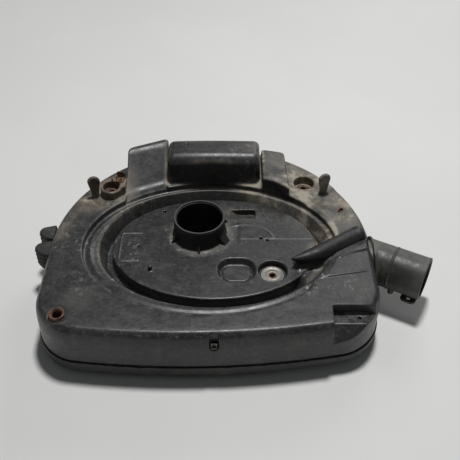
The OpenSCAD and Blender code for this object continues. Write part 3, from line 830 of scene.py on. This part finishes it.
class Nodes:
    """A material's node tree, with the few kinds of node that the materials here use."""

    def __init__(self, name, roughness, metallic=0.0):
        self.material = bpy.data.materials.new(name)
        self.material.use_nodes = True
        self.tree = self.material.node_tree
        self.shader = self.tree.nodes["Principled BSDF"]
        self.shader.inputs["Metallic"].default_value = metallic
        self.shader.inputs["Roughness"].default_value = roughness
        self.coords = self.add("ShaderNodeTexCoord").outputs["Object"]

    def add(self, kind, **settings):
        node = self.tree.nodes.new(kind)
        for key, value in settings.items():
            setattr(node, key, value)
        return node

    def wire(self, source, socket):
        if hasattr(source, "is_output"):
            self.tree.links.new(source, socket)
        else:
            socket.default_value = source

    def noise(self, scale, detail, rough=0.6, stretch=None, warp=0.0):
        node = self.add("ShaderNodeTexNoise")
        node.inputs["Scale"].default_value = scale
        node.inputs["Detail"].default_value = detail
        node.inputs["Roughness"].default_value = rough
        node.inputs["Distortion"].default_value = warp
        place = self.coords
        if stretch:
            mapping = self.add("ShaderNodeMapping")
            mapping.inputs["Scale"].default_value = stretch
            self.wire(self.coords, mapping.inputs["Vector"])
            place = mapping.outputs["Vector"]
        self.wire(place, node.inputs["Vector"])
        return node.outputs["Fac"]

    def ramp(self, source, lo, hi, bottom=0.0, top=1.0):
        """bottom where source is lo or less, top where it is hi or more."""
        node = self.add("ShaderNodeMapRange", interpolation_type="SMOOTHSTEP")
        for key, value in (("From Min", lo), ("From Max", hi), ("To Min", bottom), ("To Max", top)):
            node.inputs[key].default_value = value
        self.wire(source, node.inputs["Value"])
        return node.outputs["Result"]

    def math(self, kind, a, b):
        node = self.add("ShaderNodeMath", operation=kind, use_clamp=True)
        self.wire(a, node.inputs[0])
        self.wire(b, node.inputs[1])
        return node.outputs[0]

    def mix(self, amount, a, b):
        """Colour a where amount is 0, b where it is 1."""
        node = self.add("ShaderNodeMix", data_type="RGBA")
        self.wire(amount, node.inputs[0])
        self.wire(a if hasattr(a, "is_output") else (*a, 1), node.inputs[6])
        self.wire(b if hasattr(b, "is_output") else (*b, 1), node.inputs[7])
        return node.outputs[2]

    def painted(self, name):
        return self.add("ShaderNodeAttribute", attribute_name=name).outputs["Fac"]

    def colour(self, source):
        self.wire(source, self.shader.inputs["Base Color"])

    def rough(self, source):
        self.wire(source, self.shader.inputs["Roughness"])

    def bump(self, source, strength, distance=0.0004):
        node = self.add("ShaderNodeBump")
        node.inputs["Strength"].default_value = strength
        node.inputs["Distance"].default_value = distance
        self.wire(source, node.inputs["Height"])
        self.wire(node.outputs["Normal"], self.shader.inputs["Normal"])


# tones of dust, rust, dirt and wear
DUST = (0.185, 0.165, 0.130)
PALE_DUST = (0.29, 0.27, 0.225)
BROWN_DUST = (0.20, 0.145, 0.10)
CAKED_DUST = (0.36, 0.325, 0.265)
RUST = (0.19, 0.082, 0.042)
BROWN_RUST = (0.14, 0.06, 0.03)
DARK_RUST = (0.085, 0.028, 0.014)
DARK_SPECKLE = (0.010, 0.010, 0.010)
MOTTLE = (0.058, 0.059, 0.056)
SPECKLE = (0.105, 0.105, 0.10)
PATCH = (0.105, 0.108, 0.088)
SMUDGE = (0.12, 0.12, 0.112)
SCRATCH = (0.13, 0.13, 0.125)
WORN_EDGE = (0.14, 0.14, 0.132)
LONG_SCRATCH = (0.15, 0.15, 0.145)
FLECK = (0.36, 0.36, 0.34)


def housing_plastic():
    """Worn black plastic, with each kind of mark mixed in over those before it; the pale flecks are partly a
    painted highlight along the deck's front edge.
    """
    m = Nodes("housing_plastic", 0.55)
    broad, mottle, grain = m.noise(14, 5), m.noise(90, 6, 0.7), m.noise(900, 3)
    base = m.mix(m.ramp(broad, 0.35, 0.65), (0.021, 0.0215, 0.022), (0.034, 0.0345, 0.035))
    base = m.mix(m.ramp(mottle, 0.55, 0.75, 0, 0.35), base, MOTTLE)
    scratches = m.noise(60, 8, 0.75, (1, 9, 1), 0.6)
    base = m.mix(m.ramp(scratches, 0.60, 0.72, 0, 0.25), base, SCRATCH)
    edge = m.math("MULTIPLY", m.painted("edge"), m.ramp(mottle, 0.35, 0.6))
    base = m.mix(m.ramp(edge, 0.1, 0.65, 0, 0.7), base, WORN_EDGE)
    speckle = m.noise(240, 8, 0.85)
    base = m.mix(m.ramp(speckle, 0.50, 0.62, 0, 0.45), base, SPECKLE)
    base = m.mix(m.ramp(speckle, 0.36, 0.48, 0.7, 0), base, DARK_SPECKLE)
    smudge = m.ramp(m.noise(26, 8, 0.78, (1, 2.2, 1), 0.8), 0.50, 0.66, 0, 0.30)
    base = m.mix(smudge, base, SMUDGE)
    for stretch in ((1, 16, 1), (14, 1, 1)):
        lines = m.ramp(m.noise(38, 7, 0.8, stretch, 0.5), 0.60, 0.68, 0, 0.5)
        base = m.mix(lines, base, LONG_SCRATCH)
    base = m.mix(m.math("MULTIPLY", m.painted("patch"), 0.4), base, PATCH)
    # pale flecks: real wear, and a painted highlight along the deck's front edge
    flecks = m.math("MULTIPLY", m.painted("scuff_and_edge_highlight"), m.ramp(m.noise(160, 6, 0.8), 0.54, 0.62))
    base = m.mix(m.math("MULTIPLY", flecks, 0.75), base, FLECK)
    cloud = m.ramp(m.noise(32, 8, 0.7, warp=0.4), 0.30, 0.66)
    dust = m.math("MULTIPLY", m.painted("dust"), m.math("ADD", m.math("MULTIPLY", cloud, 0.85), 0.15))
    powder = m.mix(m.ramp(mottle, 0.4, 0.7), DUST, PALE_DUST)
    powder = m.mix(m.ramp(m.noise(18, 5), 0.45, 0.6, 0, 0.5), powder, BROWN_DUST)
    powder = m.mix(m.ramp(dust, 0.55, 0.9), powder, CAKED_DUST)
    base = m.mix(m.ramp(dust, 0.02, 0.9, 0, 0.95), base, powder)
    rust = m.math("MULTIPLY", m.painted("rust"), m.ramp(m.noise(110, 6, 0.7), 0.38, 0.6))
    base = m.mix(m.math("MULTIPLY", rust, 0.8), base, m.mix(grain, BROWN_RUST, RUST))
    m.colour(base)
    m.rough(m.math("ADD", m.ramp(mottle, 0.3, 0.7, 0.27, 0.42), m.math("MULTIPLY", dust, 0.4)))
    m.bump(m.math("ADD", m.math("MULTIPLY", speckle, 0.6), m.math("MULTIPLY", mottle, 0.4)), 0.5, 0.0006)
    return m.material


def plain_plastic(name, low, high, dusty, roughness):
    m = Nodes(name, roughness)
    broad, mottle, grain = m.noise(20, 5), m.noise(130, 6, 0.7), m.noise(900, 3)
    base = m.mix(m.ramp(broad, 0.35, 0.65), low, high)
    dust = m.math("MULTIPLY", m.ramp(m.noise(26, 8, 0.7), 0.42, 0.75), m.ramp(mottle, 0.35, 0.65))
    base = m.mix(m.math("MULTIPLY", dust, dusty), base, DUST)
    scratches = m.noise(70, 8, 0.75, (1, 8, 1), 0.5)
    base = m.mix(m.ramp(scratches, 0.62, 0.74, 0, 0.3), base, (0.16, 0.16, 0.155))
    m.colour(base)
    m.rough(m.ramp(mottle, 0.3, 0.7, roughness - 0.1, roughness + 0.12))
    m.bump(m.math("ADD", m.math("MULTIPLY", grain, 0.4), m.math("MULTIPLY", mottle, 0.4)), 0.3)
    return m.material


def rusty_steel():
    m = Nodes("rusty_steel", 0.8)
    coarse, fine = m.noise(180, 8, 0.75), m.noise(700, 6, 0.7)
    base = m.mix(m.ramp(coarse, 0.35, 0.65), (0.050, 0.023, 0.014), (0.20, 0.105, 0.062))
    base = m.mix(m.ramp(fine, 0.5, 0.7, 0, 0.6), base, (0.30, 0.215, 0.16))
    m.colour(base)
    m.rough(m.ramp(fine, 0.3, 0.7, 0.7, 0.95))
    m.bump(coarse, 0.8, 0.0006)
    return m.material


def plated_steel(name, tone, rusty=0.3):
    m = Nodes(name, 0.45, 0.8)
    coarse, fine = m.noise(120, 6, 0.7), m.noise(600, 5)
    base = m.mix(m.ramp(coarse, 0.35, 0.65), [0.75 * v for v in tone], tone)
    pits = m.ramp(m.noise(260, 7, 0.8), 0.60 - 0.12 * rusty, 0.72)
    base = m.mix(m.math("MULTIPLY", pits, rusty), base, RUST)
    base = m.mix(m.math("MULTIPLY", m.painted("rust"), 0.95), base, DARK_RUST)
    m.colour(base)
    m.rough(m.ramp(fine, 0.3, 0.7, 0.38, 0.62))
    m.bump(fine, 0.3, 0.0003)
    return m.material


def rubber(name, tone, dusty=0.15):
    m = Nodes(name, 0.75)
    mottle, grain = m.noise(150, 6, 0.7), m.noise(1100, 3)
    base = m.mix(m.ramp(mottle, 0.35, 0.7), tone, [1.6 * v for v in tone])
    base = m.mix(m.ramp(m.noise(40, 7, 0.75), 0.5, 0.75, 0, dusty), base, DUST)
    m.colour(base)
    m.rough(m.ramp(mottle, 0.3, 0.7, 0.65, 0.85))
    m.bump(grain, 0.35, 0.0003)
    return m.material


def filter_paper():
    m = Nodes("filter_paper", 0.9)
    fibres, stain = m.noise(900, 6, 0.7, (1, 1, 0.2)), m.noise(30, 6, 0.7)
    base = m.mix(m.ramp(fibres, 0.3, 0.7), (0.50, 0.42, 0.25), (0.66, 0.58, 0.38))
    base = m.mix(m.ramp(stain, 0.45, 0.7, 0, 0.55), base, (0.20, 0.17, 0.12))
    m.colour(base)
    m.bump(fibres, 0.5, 0.0003)
    return m.material


def floor_paint():
    m = Nodes("floor_paint", 0.6)
    m.colour(m.mix(m.ramp(m.noise(3, 3), 0.4, 0.6), (0.74, 0.745, 0.72), (0.76, 0.765, 0.74)))
    return m.material


# ---- stage, light and camera ----

# the camera faces +Y and looks down by CAMERA_PITCH degrees; the floor is just under the cover's lowest point
CAMERA_AT = (0.0215, -0.560, 0.592)
CAMERA_PITCH = 42.2
CAMERA_LENS = 54.78
FLOOR_Z = -0.0005
ROOM_COLOUR, ROOM_STRENGTH = (0.93, 0.96, 1.0, 1), 0.09


def stage():
    mesh = bpy.data.meshes.new("floor")
    bm = bmesh.new()
    bmesh.ops.create_grid(bm, x_segments=8, y_segments=8, size=6)
    bm.to_mesh(mesh)
    bm.free()
    floor = link("floor", mesh)
    floor.data.materials.append(floor_paint())
    floor.location.z = FLOOR_Z


def area(name, at, size, power):
    """Round area light that faces the origin, with its size in metres and its power in watts."""
    light = bpy.data.lights.new(name, "AREA")
    light.shape, light.size, light.energy = "DISK", size, power
    obj = link(name, light)
    obj.location = at
    obj.rotation_euler = (-Vector(at)).to_track_quat("-Z", "Y").to_euler()


def lights():
    world = bpy.data.worlds.new("room")
    bpy.context.scene.world = world
    world.use_nodes = True
    background = world.node_tree.nodes["Background"]
    background.inputs["Color"].default_value = ROOM_COLOUR
    background.inputs["Strength"].default_value = ROOM_STRENGTH
    area("overhead", (0.14, 0.34, 2.0), 0.26, 29)
    area("back_softbox", (1.0, 2.5, 1.5), 1.4, 16)


def camera():
    data = bpy.data.cameras.new("camera")
    data.sensor_width, data.lens = 36, CAMERA_LENS
    data.clip_start, data.clip_end = 0.01, 50
    obj = link("camera", data)
    obj.location = CAMERA_AT
    obj.rotation_euler = (math.radians(90 - CAMERA_PITCH), 0, 0)
    bpy.context.scene.camera = obj


# ---- the scene ----

camera()
stage()
lights()
bpy.context.scene.view_settings.view_transform = "Standard"

# darkest and lightest tone, how dusty, roughness
PLASTICS = {
    "cover_plastic": ((0.022, 0.022, 0.023), (0.040, 0.040, 0.041), 0.35, 0.5),
    "neck_plastic": ((0.010, 0.010, 0.011), (0.020, 0.020, 0.021), 0.22, 0.52),
    "spigot_plastic": ((0.034, 0.034, 0.031), (0.095, 0.095, 0.085), 0.6, 0.46),
    "black_nylon": ((0.02, 0.02, 0.02), (0.03, 0.03, 0.03), 0.1, 0.45),
}
MATERIALS = {name: plain_plastic(name, *look) for name, look in PLASTICS.items()}
MATERIALS.update({
    "housing_plastic": housing_plastic(),
    "seal_rubber": rubber("seal_rubber", (0.022, 0.012, 0.010)),
    "neck_lip": rubber("neck_lip", (0.05, 0.05, 0.049)),
    "black_rubber": rubber("black_rubber", (0.018, 0.018, 0.018), 0.3),
    "filter_frame_rubber": rubber("filter_frame_rubber", (0.02, 0.02, 0.02), 0.1),
    "zinc_steel": plated_steel("zinc_steel", (0.42, 0.42, 0.41)),
    "screen_steel": plated_steel("screen_steel", (0.35, 0.35, 0.36), 0.1),
    "galvanised_steel": plated_steel("galvanised_steel", (0.27, 0.26, 0.235), 0.7),
    "dull_steel": plated_steel("dull_steel", (0.07, 0.066, 0.06), 0.6),
    "brass": plated_steel("brass", (0.55, 0.42, 0.18), 0.05),
    "rusty_steel": rusty_steel(),
    "filter_paper": filter_paper(),
})
for part in frame["record"]["subparts"]:
    dress(NODES[part["node"]], MATERIALS[part["material_slot"]])
dress(NODES["spring_nut"], MATERIALS["dull_steel"])

make_housing()
make_pieces()
bevel_metal_parts()
